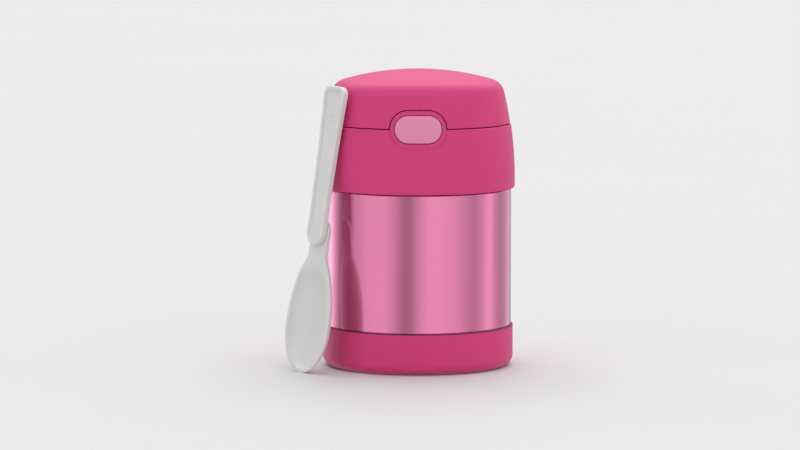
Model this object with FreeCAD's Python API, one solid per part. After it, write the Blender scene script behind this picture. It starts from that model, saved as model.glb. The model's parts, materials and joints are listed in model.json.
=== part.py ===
import FreeCAD, Part
import math
import os

# Insulated food jar with a screw lid, a flip-up cover and a folding spoon.
# Millimetres. The origin is the centre of the base, +Z is up, and the push
# button faces -Y. The spoon stands at the front left of the jar.

# Overall sizes
body_radius = 43.0
overall_height = 136.5
running_gap = 0.3
seat_gap = 0.1
cut_margin = 1.0
touch = 0.05

# Steel walls
steel = 0.6
base_seam_z = 19.0
shoulder_drop = 53.5
shoulder_width = 6.8
shoulder_round = 2.2
neck_root_round = 1.0
neck_height = 12.0
plinth_step = 0.8
plinth_foot_z = 2.4
joggle = 0.8

# Liner
vacuum_gap = 3.9
neck_gap = 0.7
liner_floor_z = 12.0
liner_corner = 6.0
liner_shoulder_drop = 9.0
liner_neck_drop = 3.0

# Base boot
boot_proud = 0.9
boot_floor = 2.0
boot_round = 4.8
boot_lip_round = 0.45
recess_depth = 0.6
recess_inner = 9.0
recess_border = 13.9

# Bottom plate and what it carries
plate_rim = 2.6
plug_radius = 4.5
plug_height = 1.6
tip_radius = 1.25
getter_radius = 5.0
getter_height = 2.4
getter_offset = 14.0
getter_round = 0.6

# Lid side, one arc of large radius that leans in towards the top
lid_overhang = 1.7
lid_drop = 0.8
side_arc = 175.0
widest_rise = 3.8
lid_wall = 1.8
skirt_rebate = 2.2
cover_height = 24.75
seam_gap = 0.5
skirt_edge_round = 0.7
ledge_width = 2.2
ledge_thickness = 1.3
ledge_opening = 4.0

# Threaded inner cap and its gasket
thread_room = 1.3
cap_wall = 1.6
cap_flange_thickness = 1.4
gasket_height = 2.0
gasket_lip = 0.9
gasket_lip_drop = 1.5
gasket_edge_gap = 0.6

# Spoon tray
plate_thickness = 1.4
plate_drop = 0.5
tray_wall = 1.2
tray_margin = 7.7
tray_width = 32.0
tray_corner = 12.0
tray_floor_round = 3.0
tray_centre_y = 1.0

# Cover
cover_inset = 0.3
dome_radius = 125.0
dome_shoulder = 7.4
cover_wall = 1.8
liner_wall = 1.2
liner_drop = 10.5
liner_dome = 125.0
liner_shoulder = 5.0
liner_lift = 0.4

# Cover hinge at the back of the seam
hinge_inset = 3.9
knuckle_radius = 2.2
knuckle_clearance = 0.4
knuckle_sweep = 0.9
pin_radius = 1.0
pin_fit = 0.05
spring_bay = 4.3
knuckle_length = 3.8
ear_length = 3.0
knuckle_web = 4.2
ear_proud = 0.7
hinge_bay_depth = 3.7

# Hinge spring
wire_sides = 6
hinge_wire = 0.3
hinge_coil = 1.6
hinge_turns = 6
hinge_pitch = 1.1
hinge_leg = 3.6
hinge_leg_wire = 0.24

# Push button, its frame and its slider
button_width = 21.1
button_height = 12.4
button_corner = 6.0
button_gap = 0.3
button_crown = 46.0
button_proud = 0.6
button_edge = 0.6
button_travel = 2.0
frame_border = 2.15
frame_proud = 0.25
frame_gap = 0.45
flange_border = 1.35
flange_inset = 6.5
flange_thickness = 1.0
slider_half_width = 8.4
slider_rail = 2.2
slider_bar = 2.8
slider_length = 9.6
guide_wall = 1.2

# Catch that hangs from the cover liner into the slider
catch_half_width = 5.0
catch_thickness = 1.6
catch_front_clearance = 0.6
catch_nose = 1.8
catch_nose_height = 1.8
catch_drop = 6.2
catch_slot_side = 0.6
catch_slot_back = 0.8
latch_bite = 0.7
latch_gap = 0.4
latch_height = 1.8

# Button spring
spring_room = 6.0
spring_wire = 0.35
spring_coil = 2.7
spring_turns = 4
spring_boss_radius = 1.7
spring_boss = 1.6

# Spoon
bowl_length = 54.0
spoon_neck = 10.2
bowl_width = 30.0
bowl_depth = 7.0
bowl_widest = 21.0
bowl_wall = 1.6
stem_overlap = 8.0
stem_width = 11.4
stem_thickness = 2.6
handle_thickness = 3.0
handle_edge_round = 0.6
handle_top_width = 14.7
handle_mid_width = 11.4
handle_low_width = 10.2
handle_corner = 4.2
handle_reach = 67.2
pivot_disc = 6.0
handle_disc = 5.5
panel_border = 1.7
panel_depth = 0.6
rivet_radius = 2.0
rivet_head = 3.4
rivet_head_height = 0.8
rivet_cover = 1.0

# Where the spoon stands: its tip on the ground, the place level with the
# cover's shoulder that it leans to, and the way that its face looks
spoon_foot_out = 17.6
spoon_foot_angle = 29.9
spoon_rest_drop = 11.5
spoon_rest_in = 1.7
spoon_rest_angle = 32.3
spoon_face_azimuth = 50.0
spoon_floor_gap = 0.05

# Heights and radii that follow from those
shoulder_z = overall_height - shoulder_drop
mouth_z = shoulder_z + neck_height
lid_bottom_z = shoulder_z - lid_drop
widest_z = lid_bottom_z + widest_rise
seam_z = overall_height - cover_height
liner_apex_z = overall_height - liner_drop
liner_shoulder_z = shoulder_z - liner_shoulder_drop
liner_neck_z = shoulder_z - liner_neck_drop
belly_radius = body_radius - steel - vacuum_gap
neck_radius = body_radius - shoulder_width
mouth_radius = neck_radius - steel - neck_gap
lid_radius = body_radius + lid_overhang
hinge_y = lid_radius - hinge_inset
flange_front_y = flange_inset - lid_radius
tray_length = 2 * (lid_radius - tray_margin)
spoon_pivot = bowl_length + spoon_neck
plate_top_z = plinth_foot_z + plate_rim + steel
plinth_radius = body_radius - plinth_step
boot_radius = body_radius + boot_proud
recess_outer = boot_radius - recess_border
cap_bore = neck_radius + thread_room
cap_radius = cap_bore + cap_wall
gasket_z = mouth_z + running_gap
cap_ceiling_z = gasket_z + gasket_height + running_gap
cap_top_z = cap_ceiling_z + cap_wall
cap_foot_z = lid_bottom_z + skirt_rebate
skirt_top_z = seam_z - seam_gap / 2
cover_foot_z = seam_z + seam_gap / 2
plate_z = skirt_top_z - plate_drop - plate_thickness
ledge_top_z = plate_z
tray_foot_z = cap_top_z + seat_gap
flange_back_y = flange_front_y + flange_thickness
slider_foot_z = cap_top_z + running_gap
slider_top_z = plate_z - running_gap
slider_back_y = flange_back_y + slider_length
spring_seat_y = slider_back_y + spring_room
pressed_back_y = flange_back_y + button_travel + running_gap
front_clear_y = -lid_radius - 2 * cut_margin
catch_front_y = flange_back_y + button_travel + catch_front_clearance
catch_back_y = catch_front_y + catch_thickness
nose_back_y = catch_back_y + catch_nose
latch_front_y = nose_back_y - latch_bite
catch_bottom_z = plate_z - catch_drop
nose_top_z = catch_bottom_z + catch_nose_height
spring_z = (slider_foot_z + slider_top_z) / 2
knuckle_inner_x = spring_bay + running_gap
ear_inner_x = knuckle_inner_x + knuckle_length + running_gap
ear_outer_x = ear_inner_x + ear_length
hinge_bay_x = ear_outer_x + knuckle_clearance


def line(start, end):
    """Straight edge between two (radius, height) points."""
    return Part.LineSegment(section_point(start), section_point(end)).toShape()


def arc(start, middle, end):
    """Arc through three (radius, height) points."""
    return Part.Arc(section_point(start), section_point(middle), section_point(end)).toShape()


def section_point(point):
    return FreeCAD.Vector(point[0], 0, point[1])


def turned(edges):
    """Solid of revolution about Z of a closed outline in the XZ plane."""
    face = Part.Face(Part.Wire(edges))
    return face.revolve(FreeCAD.Vector(0, 0, 0), FreeCAD.Vector(0, 0, 1), 360)


def turned_polygon(points):
    """Solid of revolution of a polygon of (radius, height) points."""
    closed = points + points[:1]
    edges = [line(closed[index], closed[index + 1]) for index in range(len(points))]
    return turned(edges)


def ring(inner, outer, low, high):
    """Plain ring with square corners."""
    body = Part.makeCylinder(outer, high - low, FreeCAD.Vector(0, 0, low))
    bore = Part.makeCylinder(inner, high - low + 2 * cut_margin, FreeCAD.Vector(0, 0, low - cut_margin))
    return body.cut(bore)


def block(x_low, x_high, y_low, y_high, z_low, z_high):
    """Box between two corners."""
    corner = FreeCAD.Vector(x_low, y_low, z_low)
    return Part.makeBox(x_high - x_low, y_high - y_low, z_high - z_low, corner)


def rod_along_x(radius, x_low, x_high, y, z):
    axis = FreeCAD.Vector(1, 0, 0)
    return Part.makeCylinder(radius, x_high - x_low, FreeCAD.Vector(x_low, y, z), axis)


def rod_along_y(radius, y_low, y_high, z):
    axis = FreeCAD.Vector(0, 1, 0)
    return Part.makeCylinder(radius, y_high - y_low, FreeCAD.Vector(0, y_low, z), axis)


def rounded_bar(width, height, corner, length):
    """Bar with rounded corners, centred on the origin and running along +Z."""
    bar = Part.makeBox(width, height, length, FreeCAD.Vector(-width / 2, -height / 2, 0))
    upright = [edge for edge in bar.Edges if abs(edge.tangentAt(edge.FirstParameter).z) > 0.9]
    return bar.makeFillet(corner, upright)


def front_bar(width, height, corner, y_low, y_high):
    """Bar with rounded corners that runs along Y, centred on the button."""
    bar = rounded_bar(width, height, corner, y_high - y_low)
    bar.rotate(FreeCAD.Vector(0, 0, 0), FreeCAD.Vector(1, 0, 0), -90)
    bar.translate(FreeCAD.Vector(0, y_low, seam_z))
    return bar


def round_edges(shape, radius, test):
    """Fillet the edges whose middle point passes the test."""
    chosen = []
    for edge in shape.Edges:
        if test(edge.BoundBox.Center, edge):
            chosen.append(edge)
    return shape.makeFillet(radius, chosen)


def is_ring_at(edge, height, radius, centre_x=0):
    """True for a full level circle at a height and a radius."""
    box = edge.BoundBox
    flat = box.ZLength < touch and abs(box.ZMin - height) < touch
    return flat and abs(box.XMax - centre_x - radius) < touch and abs(box.XMin - centre_x + radius) < touch


def side_radius(z, inset):
    """Radius of the lid's side at a height, moved in by an inset."""
    run = side_arc - inset
    return lid_radius - side_arc + math.sqrt(run ** 2 - (z - widest_z) ** 2)


def side_edge(low, high, inset):
    middle = (low + high) / 2
    points = [(side_radius(z, inset), z) for z in (low, middle, high)]
    return arc(points[0], points[1], points[2])


def drum(inset, low, high):
    """Solid that fills the lid's side arc between two heights."""
    edges = [line((0, low), (side_radius(low, inset), low))]
    edges.append(side_edge(low, high, inset))
    edges.append(line((side_radius(high, inset), high), (0, high)))
    edges.append(line((0, high), (0, low)))
    return turned(edges)


def dome_points(inset, apex_z, dome, shoulder):
    """Tangent points and middles of the shoulder between the side and the dome."""
    side_centre = (lid_radius - side_arc, widest_z)
    dome_centre = (0.0, apex_z - dome)
    side_run = side_arc - inset - shoulder
    dome_run = dome - shoulder
    span = math.hypot(dome_centre[0] - side_centre[0], dome_centre[1] - side_centre[1])
    along = (side_run ** 2 - dome_run ** 2 + span ** 2) / (2 * span)
    across = math.sqrt(side_run ** 2 - along ** 2)
    unit = ((dome_centre[0] - side_centre[0]) / span, (dome_centre[1] - side_centre[1]) / span)
    centre_r = side_centre[0] + along * unit[0] - across * unit[1]
    centre_z = side_centre[1] + along * unit[1] + across * unit[0]
    side_scale = (side_arc - inset) / side_run
    dome_scale = dome / dome_run
    low = (side_centre[0] + (centre_r - side_centre[0]) * side_scale,
           side_centre[1] + (centre_z - side_centre[1]) * side_scale)
    high = (centre_r * dome_scale, dome_centre[1] + (centre_z - dome_centre[1]) * dome_scale)
    mid_r = (low[0] + high[0]) / 2 - centre_r
    mid_z = (low[1] + high[1]) / 2 - centre_z
    reach = shoulder / math.hypot(mid_r, mid_z)
    middle = (centre_r + mid_r * reach, centre_z + mid_z * reach)
    crown_r = high[0] / 2
    crown = (crown_r, dome_centre[1] + math.sqrt(dome ** 2 - crown_r ** 2))
    return low, middle, high, crown


def domed_block(inset, foot_z, apex_z, dome, shoulder):
    """Solid under the lid's side, a rounded shoulder and a shallow dome."""
    low, middle, high, crown = dome_points(inset, apex_z, dome, shoulder)
    edges = [line((0, foot_z), (side_radius(foot_z, inset), foot_z))]
    edges.append(side_edge(foot_z, low[1], inset))
    edges.append(arc(low, middle, high))
    edges.append(arc(high, crown, (0, apex_z)))
    edges.append(line((0, apex_z), (0, foot_z)))
    return turned(edges)


def make_outer_shell():
    """Drawn steel shell: stepped plinth, straight side, shoulder and neck."""
    def outline(inset):
        side = body_radius - inset
        plinth = plinth_radius - inset
        neck = neck_radius - inset
        top = shoulder_z - inset
        round_out = shoulder_round - inset
        round_in = neck_root_round + inset
        diagonal = math.sqrt(0.5)
        spare = cut_margin if inset else 0
        start = (plinth, plinth_foot_z - spare)
        end = (neck, mouth_z - steel + spare)
        edges = [line(start, (plinth, base_seam_z - joggle))]
        edges.append(line((plinth, base_seam_z - joggle), (side, base_seam_z)))
        edges.append(line((side, base_seam_z), (side, top - round_out)))
        bend = (side - round_out + round_out * diagonal, top - round_out + round_out * diagonal)
        edges.append(arc((side, top - round_out), bend, (side - round_out, top)))
        edges.append(line((side - round_out, top), (neck + round_in, top)))
        bend = (neck + round_in - round_in * diagonal, top + round_in - round_in * diagonal)
        edges.append(arc((neck + round_in, top), bend, (neck, top + round_in)))
        edges.append(line((neck, top + round_in), end))
        edges.append(line(end, (0, end[1])))
        edges.append(line((0, end[1]), (0, start[1])))
        edges.append(line((0, start[1]), start))
        return turned(edges)

    return outline(0).cut(outline(steel))


def make_inner_liner():
    """Deep drawn liner whose lip closes the top of the vacuum space."""
    def outline(inset, top):
        belly = belly_radius - inset
        mouth = mouth_radius - inset
        floor = liner_floor_z - steel + inset
        corner = liner_corner - inset
        diagonal = math.sqrt(0.5)
        edges = [line((0, floor), (belly - corner, floor))]
        bend = (belly - corner + corner * diagonal, floor + corner - corner * diagonal)
        edges.append(arc((belly - corner, floor), bend, (belly, floor + corner)))
        edges.append(line((belly, floor + corner), (belly, liner_shoulder_z)))
        edges.append(line((belly, liner_shoulder_z), (mouth, liner_neck_z)))
        edges.append(line((mouth, liner_neck_z), (mouth, top)))
        edges.append(line((mouth, top), (0, top)))
        edges.append(line((0, top), (0, floor)))
        return turned(edges)

    lip = Part.makeCylinder(neck_radius, steel, FreeCAD.Vector(0, 0, mouth_z - steel))
    solid = outline(0, mouth_z).fuse(lip)
    return solid.cut(outline(steel, mouth_z + cut_margin)).removeSplitter()


def make_bottom_plate():
    """Pressed plate that closes the shell, with a hole for the sealing tip."""
    rim_radius = plinth_radius - steel - seat_gap / 2
    low = plate_top_z - steel
    points = [(tip_radius, low), (rim_radius - steel, low), (rim_radius - steel, plinth_foot_z)]
    points += [(rim_radius, plinth_foot_z), (rim_radius, plate_top_z), (tip_radius, plate_top_z)]
    return turned_polygon(points)


def make_vacuum_plug():
    """Sealing plug under the bottom plate, with its tip through the hole."""
    low = plate_top_z - steel
    points = [(0, low - plug_height), (plug_radius, low - plug_height), (plug_radius, low)]
    tip = tip_radius - seat_gap / 2
    points += [(tip, low), (tip, plate_top_z), (0, plate_top_z)]
    return turned_polygon(points)


def make_getter():
    """Getter capsule in the vacuum space, on the bottom plate."""
    foot = FreeCAD.Vector(getter_offset, 0, plate_top_z)
    capsule = Part.makeCylinder(getter_radius, getter_height, foot)
    top = foot.z + getter_height
    return round_edges(capsule, getter_round,
                       lambda middle, edge: is_ring_at(edge, top, getter_radius, getter_offset))


def make_base_boot():
    """Moulded boot round the foot of the shell."""
    inner = plinth_radius + seat_gap
    diagonal = math.sqrt(0.5)
    foot = boot_radius - boot_round
    edges = [line((0, 0), (foot, 0))]
    bend = (foot + boot_round * diagonal, boot_round - boot_round * diagonal)
    edges.append(arc((foot, 0), bend, (boot_radius, boot_round)))
    edges.append(line((boot_radius, boot_round), (boot_radius, base_seam_z - seat_gap)))
    edges.append(line((boot_radius, base_seam_z - seat_gap), (inner + joggle, base_seam_z - seat_gap)))
    edges.append(line((inner + joggle, base_seam_z - seat_gap), (inner, base_seam_z - joggle - seat_gap)))
    edges.append(line((inner, base_seam_z - joggle - seat_gap), (inner, boot_floor)))
    edges.append(line((inner, boot_floor), (0, boot_floor)))
    edges.append(line((0, boot_floor), (0, 0)))
    boot = turned(edges)
    boot = round_edges(boot, min(boot_lip_round, boot_proud / 3),
                       lambda middle, edge: is_ring_at(edge, base_seam_z - seat_gap, boot_radius))
    return boot.cut(ring(recess_inner, recess_outer, -cut_margin, recess_depth))


def make_gasket():
    """Silicone ring on the mouth, with a lip that hangs inside it."""
    lip_radius = mouth_radius - steel - running_gap
    inner = lip_radius - gasket_lip
    outer = cap_bore - gasket_edge_gap
    points = [(inner, gasket_z - gasket_lip_drop)]
    points += [(lip_radius, gasket_z - gasket_lip_drop), (lip_radius, gasket_z)]
    points += [(outer, gasket_z), (outer, gasket_z + gasket_height), (inner, gasket_z + gasket_height)]
    return turned_polygon(points)


def make_inner_cap():
    """Threaded cap inside the lid: ceiling, wall and foot flange."""
    flange = side_radius(cap_foot_z + cap_flange_thickness, lid_wall) - seat_gap
    points = [(0, cap_ceiling_z), (cap_bore, cap_ceiling_z), (cap_bore, cap_foot_z)]
    points += [(flange, cap_foot_z), (flange, cap_foot_z + cap_flange_thickness)]
    points += [(cap_radius, cap_foot_z + cap_flange_thickness), (cap_radius, cap_top_z), (0, cap_top_z)]
    cap = turned_polygon(points)
    return round_edges(cap, cap_wall / 2, lambda middle, edge: is_ring_at(edge, cap_top_z, cap_radius))


def hinge_rod(radius, x_low, x_high):
    return rod_along_x(radius, x_low, x_high, hinge_y, seam_z)


def both_sides(shape):
    """The shape and its mirror image across the YZ plane, as one compound."""
    return Part.makeCompound([shape, shape.mirror(FreeCAD.Vector(0, 0, 0), FreeCAD.Vector(1, 0, 0))])


def make_lid_skirt():
    """Outer lid shell with the button's frame in front and hinge ears behind."""
    shell = drum(0, lid_bottom_z, skirt_top_z)
    shell = round_edges(shell, skirt_edge_round, lambda middle, edge:
                        is_ring_at(edge, lid_bottom_z, side_radius(lid_bottom_z, 0))
                        or is_ring_at(edge, skirt_top_z, side_radius(skirt_top_z, 0)))
    shell = shell.cut(drum(lid_wall, cap_foot_z, skirt_top_z + cut_margin))
    rebate = Part.makeCylinder(body_radius + running_gap, skirt_rebate + cut_margin,
                               FreeCAD.Vector(0, 0, lid_bottom_z - cut_margin))
    shell = shell.cut(rebate)

    ledge_low = ledge_top_z - ledge_thickness
    ledge = drum(lid_wall / 2, ledge_low, ledge_top_z)
    ledge_bore = side_radius(ledge_top_z, lid_wall) - ledge_width
    ledge = ledge.cut(Part.makeCylinder(ledge_bore, ledge_thickness + 2 * cut_margin,
                                        FreeCAD.Vector(0, 0, ledge_low - cut_margin)))
    room = button_width / 2 + flange_border + 2 * running_gap
    opening_y = flange_front_y + ledge_opening
    ledge = ledge.cut(block(-room, room, -lid_radius, opening_y, ledge_low - cut_margin, seam_z))
    shell = shell.fuse(ledge)

    reach = button_height / 2 + frame_border
    tongue = drum(-frame_proud, seam_z - reach - cut_margin, seam_z + reach + cut_margin)
    tongue = tongue.cut(drum(lid_wall, seam_z - reach - 2 * cut_margin, seam_z + reach + 2 * cut_margin))
    frame_block = front_bar(button_width + 2 * frame_border, button_height + 2 * frame_border,
                            button_corner + frame_border, front_clear_y, -lid_radius / 2)
    shell = shell.fuse(tongue.common(frame_block))
    hole = front_bar(button_width + 2 * button_gap, button_height + 2 * button_gap,
                     button_corner + button_gap, front_clear_y, -lid_radius / 2)
    shell = shell.cut(hole)

    sweep = knuckle_radius + knuckle_sweep
    shell = shell.cut(hinge_rod(sweep, seat_gap - ear_inner_x, ear_inner_x - seat_gap))
    web = block(ear_inner_x, ear_outer_x, hinge_y - knuckle_radius, lid_radius, seam_z - knuckle_web, seam_z)
    web = web.common(drum(0, seam_z - knuckle_web - cut_margin, seam_z + cut_margin))
    ear = hinge_rod(knuckle_radius, ear_inner_x, ear_outer_x).fuse(web)
    ear = ear.common(drum(-ear_proud, lid_bottom_z, seam_z + knuckle_radius + cut_margin))
    shell = shell.fuse(both_sides(ear).Solids)
    shell = shell.cut(hinge_rod(pin_radius + pin_fit / 2, -hinge_bay_x, hinge_bay_x))
    return shell.removeSplitter()


def make_hinge_pin():
    return hinge_rod(pin_radius, -ear_outer_x, ear_outer_x)


def coil(radius, pitch, turns, wire):
    """Coil spring about Z from the origin, as a wire swept along a helix."""
    path = Part.makeHelix(pitch, pitch * turns, radius)
    corners = []
    for side in range(wire_sides + 1):
        angle = 2 * math.pi * side / wire_sides
        corners.append(FreeCAD.Vector(radius + wire * math.cos(angle), 0, wire * math.sin(angle)))
    return Part.Wire(path.Edges).makePipeShell([Part.makePolygon(corners)], True, True)


def make_hinge_spring():
    """Torsion spring round the pin that throws the cover open."""
    spring = coil(hinge_coil, hinge_pitch, hinge_turns, hinge_wire)
    half = hinge_pitch * hinge_turns / 2
    bite = hinge_wire
    along = FreeCAD.Vector(0, 1, 0)
    low_start = FreeCAD.Vector(hinge_coil, -hinge_leg, 0)
    high_start = FreeCAD.Vector(hinge_coil, -bite, 2 * half)
    low_leg = Part.makeCylinder(hinge_leg_wire, hinge_leg + bite, low_start, along)
    high_leg = Part.makeCylinder(hinge_leg_wire, hinge_leg + bite, high_start, along)
    spring = spring.fuse([low_leg, high_leg])
    spring.translate(FreeCAD.Vector(0, 0, -half))
    spring.rotate(FreeCAD.Vector(0, 0, 0), FreeCAD.Vector(0, 1, 0), 90)
    spring.translate(FreeCAD.Vector(0, hinge_y, seam_z))
    return spring


def make_spoon_tray():
    """Plate across the lid with a sunken spoon bay and the slider's guides."""
    plate_radius = side_radius(plate_z + plate_thickness, lid_wall) - seat_gap
    plate = Part.makeCylinder(plate_radius, plate_thickness, FreeCAD.Vector(0, 0, plate_z))
    depth = plate_z + plate_thickness - tray_foot_z
    bay = rounded_bar(tray_length + 2 * tray_wall, tray_width + 2 * tray_wall, tray_corner + tray_wall, depth)
    bay.translate(FreeCAD.Vector(0, tray_centre_y, tray_foot_z))
    hollow = rounded_bar(tray_length, tray_width, tray_corner, depth)
    hollow = round_edges(hollow, tray_floor_round, lambda middle, edge: edge.BoundBox.ZMax < touch)
    hollow.translate(FreeCAD.Vector(0, tray_centre_y, tray_foot_z + tray_wall))
    tray = plate.fuse(bay)

    guide_x = slider_half_width + running_gap
    seat_back = spring_seat_y + guide_wall
    guide = block(guide_x, guide_x + guide_wall, catch_front_y, seat_back, tray_foot_z, plate_z)
    seat = block(-guide_x - guide_wall, guide_x + guide_wall, spring_seat_y, seat_back, tray_foot_z, plate_z)
    boss = rod_along_y(spring_boss_radius, spring_seat_y - spring_boss, spring_seat_y, spring_z)
    tray = tray.fuse(both_sides(guide).Solids + [seat, boss])
    tray = tray.cut(hollow)

    slot_x = catch_half_width + catch_slot_side
    low = plate_z - cut_margin
    slot = block(-slot_x, slot_x, flange_front_y, nose_back_y + catch_slot_back, low, skirt_top_z)
    flange_room = button_width / 2 + flange_border + running_gap
    front = block(-flange_room, flange_room, -lid_radius, pressed_back_y, low, skirt_top_z)
    back = block(-hinge_bay_x, hinge_bay_x, hinge_y - hinge_bay_depth, lid_radius, low, skirt_top_z)
    tray = tray.cut([slot, front, back])
    return tray.removeSplitter()


def make_cover_shell():
    """Domed cover with a notch round the button's frame and hinge knuckles."""
    outside = domed_block(cover_inset, cover_foot_z, overall_height, dome_radius, dome_shoulder)
    inset = cover_inset + cover_wall
    inside = domed_block(inset, cover_foot_z - cut_margin, overall_height - cover_wall,
                         dome_radius - cover_wall, dome_shoulder - cover_wall)
    shell = outside.cut(inside)
    grow = frame_border + frame_gap
    notch = front_bar(button_width + 2 * grow, button_height + 2 * grow, button_corner + grow,
                      front_clear_y, -lid_radius / 2)
    shell = shell.cut(notch)
    room = knuckle_radius + knuckle_clearance
    shell = shell.cut(hinge_rod(room, -hinge_bay_x, hinge_bay_x))
    web = block(knuckle_inner_x, knuckle_inner_x + knuckle_length, hinge_y - knuckle_radius, lid_radius,
                seam_z, seam_z + knuckle_web)
    web = web.common(domed_block(cover_inset, seam_z, overall_height, dome_radius, dome_shoulder))
    knuckle = hinge_rod(knuckle_radius, knuckle_inner_x, knuckle_inner_x + knuckle_length).fuse(web)
    shell = shell.fuse(both_sides(knuckle).Solids)
    shell = shell.cut(hinge_rod(pin_radius + pin_fit, -hinge_bay_x, hinge_bay_x))
    return shell.removeSplitter()


def make_cover_liner():
    """Inner ceiling of the cover with the catch that the slider holds."""
    inset = cover_inset + cover_wall + seat_gap
    foot = cover_foot_z + liner_lift
    outside = domed_block(inset, foot, liner_apex_z, liner_dome, liner_shoulder)
    low = foot - cut_margin
    inside = domed_block(inset + liner_wall, low, liner_apex_z - liner_wall, liner_dome - liner_wall,
                         liner_shoulder - liner_wall)
    liner = outside.cut(inside)
    notch_x = button_width / 2 + frame_border + 2 * frame_gap
    notch_z = seam_z + button_height / 2 + frame_border + frame_gap
    front = block(-notch_x, notch_x, -lid_radius, pressed_back_y, low, notch_z)
    back = block(-hinge_bay_x, hinge_bay_x, hinge_y - hinge_bay_depth, lid_radius, low, seam_z + knuckle_web)
    liner = liner.cut([front, back])

    half = catch_half_width
    tab = block(-half, half, catch_front_y, catch_back_y, catch_bottom_z, liner_apex_z)
    tab = tab.common(domed_block(inset, catch_bottom_z - cut_margin, liner_apex_z - liner_wall / 2,
                                 liner_dome, liner_shoulder))
    nose_points = [(catch_back_y, catch_bottom_z), (nose_back_y, catch_bottom_z + catch_nose_height / 2),
                   (nose_back_y, nose_top_z), (catch_back_y, nose_top_z)]
    corners = [FreeCAD.Vector(-half, y, z) for y, z in nose_points]
    face = Part.Face(Part.makePolygon(corners + corners[:1]))
    nose = face.extrude(FreeCAD.Vector(2 * half, 0, 0))
    return liner.fuse([tab, nose]).removeSplitter()


def make_button_cap():
    """Crowned push button with a flange that keeps it behind the frame."""
    lean = math.asin((seam_z - widest_z) / side_arc)
    ball_y = -side_radius(seam_z, 0) - (button_proud - button_crown) * math.cos(lean)
    ball_z = seam_z + (button_proud - button_crown) * math.sin(lean)
    ball = Part.makeSphere(button_crown, FreeCAD.Vector(0, ball_y, ball_z))
    cap = front_bar(button_width, button_height, button_corner, front_clear_y, flange_back_y)
    cap = cap.common(ball)
    cap = round_edges(cap, button_edge, lambda middle, edge: edge.BoundBox.YMax < flange_front_y - cut_margin)
    flange = front_bar(button_width + 2 * flange_border, button_height + 2 * flange_border,
                       button_corner + flange_border, flange_front_y, flange_back_y)
    return cap.fuse(flange).removeSplitter()


def make_button_slider():
    """Fork behind the button whose ledge holds the catch down."""
    inner = slider_half_width - slider_rail
    rail = block(inner, slider_half_width, flange_back_y, slider_back_y, slider_foot_z, slider_top_z)
    half = slider_half_width
    bar = block(-half, half, slider_back_y - slider_bar, slider_back_y, slider_foot_z, slider_top_z)
    ledge_low = nose_top_z + latch_gap
    bar_front_y = slider_back_y - slider_bar
    ledge = block(-inner, inner, latch_front_y, bar_front_y, ledge_low, ledge_low + latch_height)
    boss = rod_along_y(spring_boss_radius, slider_back_y, slider_back_y + spring_boss, spring_z)
    return bar.fuse(both_sides(rail).Solids + [ledge, boss]).removeSplitter()


def make_button_spring():
    """Compression spring between the slider and the tray's seat."""
    room = spring_seat_y - slider_back_y - 2 * spring_wire
    spring = coil(spring_coil, room / spring_turns, spring_turns, spring_wire)
    spring.rotate(FreeCAD.Vector(0, 0, 0), FreeCAD.Vector(1, 0, 0), -90)
    spring.translate(FreeCAD.Vector(0, slider_back_y + spring_wire, spring_z))
    return spring


def beside_jar(radius, angle, z):
    """Point at a radius, turned from the left towards the front."""
    turn = math.radians(angle)
    return FreeCAD.Vector(-radius * math.cos(turn), -radius * math.sin(turn), z)


def spoon_placement():
    """Frame of the leaning spoon: local X across, -Y out of its face, Z along it."""
    foot = beside_jar(lid_radius + spoon_foot_out, spoon_foot_angle, 0)
    rest = beside_jar(lid_radius - spoon_rest_in, spoon_rest_angle, overall_height - spoon_rest_drop)
    along = rest - foot
    along.normalize()
    azimuth = math.radians(spoon_face_azimuth)
    facing = FreeCAD.Vector(-math.sin(azimuth), -math.cos(azimuth), 0)
    facing = facing - along * facing.dot(along)
    facing.normalize()
    across = (facing * -1).cross(along)
    reach = math.hypot(bowl_widest * along.z, bowl_depth * facing.z)
    foot.z = spoon_floor_gap + reach - bowl_widest * along.z
    matrix = FreeCAD.Matrix(across.x, -facing.x, along.x, foot.x,
                            across.y, -facing.y, along.y, foot.y,
                            across.z, -facing.z, along.z, foot.z,
                            0, 0, 0, 1)
    return FreeCAD.Placement(matrix)


def stand_up(shape):
    """Move a spoon piece from its own frame to where the spoon stands."""
    placed = shape.copy()
    placed.Placement = spoon_placement().multiply(placed.Placement)
    return placed


def half_egg(half_width, depth, length, upward, rim_y):
    """Quarter of an ellipsoid behind the rim plane, above or below the widest line."""
    low, high = (0, 90) if upward else (-90, 0)
    ball = Part.makeSphere(1.0, FreeCAD.Vector(0, 0, 0), FreeCAD.Vector(0, 0, 1), low, high, 180)
    matrix = FreeCAD.Matrix()
    matrix.scale(FreeCAD.Vector(half_width, depth, length))
    egg = ball.transformGeometry(matrix)
    egg.translate(FreeCAD.Vector(0, rim_y, bowl_widest))
    return egg


def egg_bowl(inset, rim_y):
    """Egg-shaped hollow form, longer above its widest line than below it."""
    half_width = bowl_width / 2 - inset
    depth = bowl_depth - inset
    lower = half_egg(half_width, depth, bowl_widest - inset, False, rim_y)
    upper = half_egg(half_width, depth, bowl_length - bowl_widest - inset, True, rim_y)
    return lower.fuse(upper)


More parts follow.
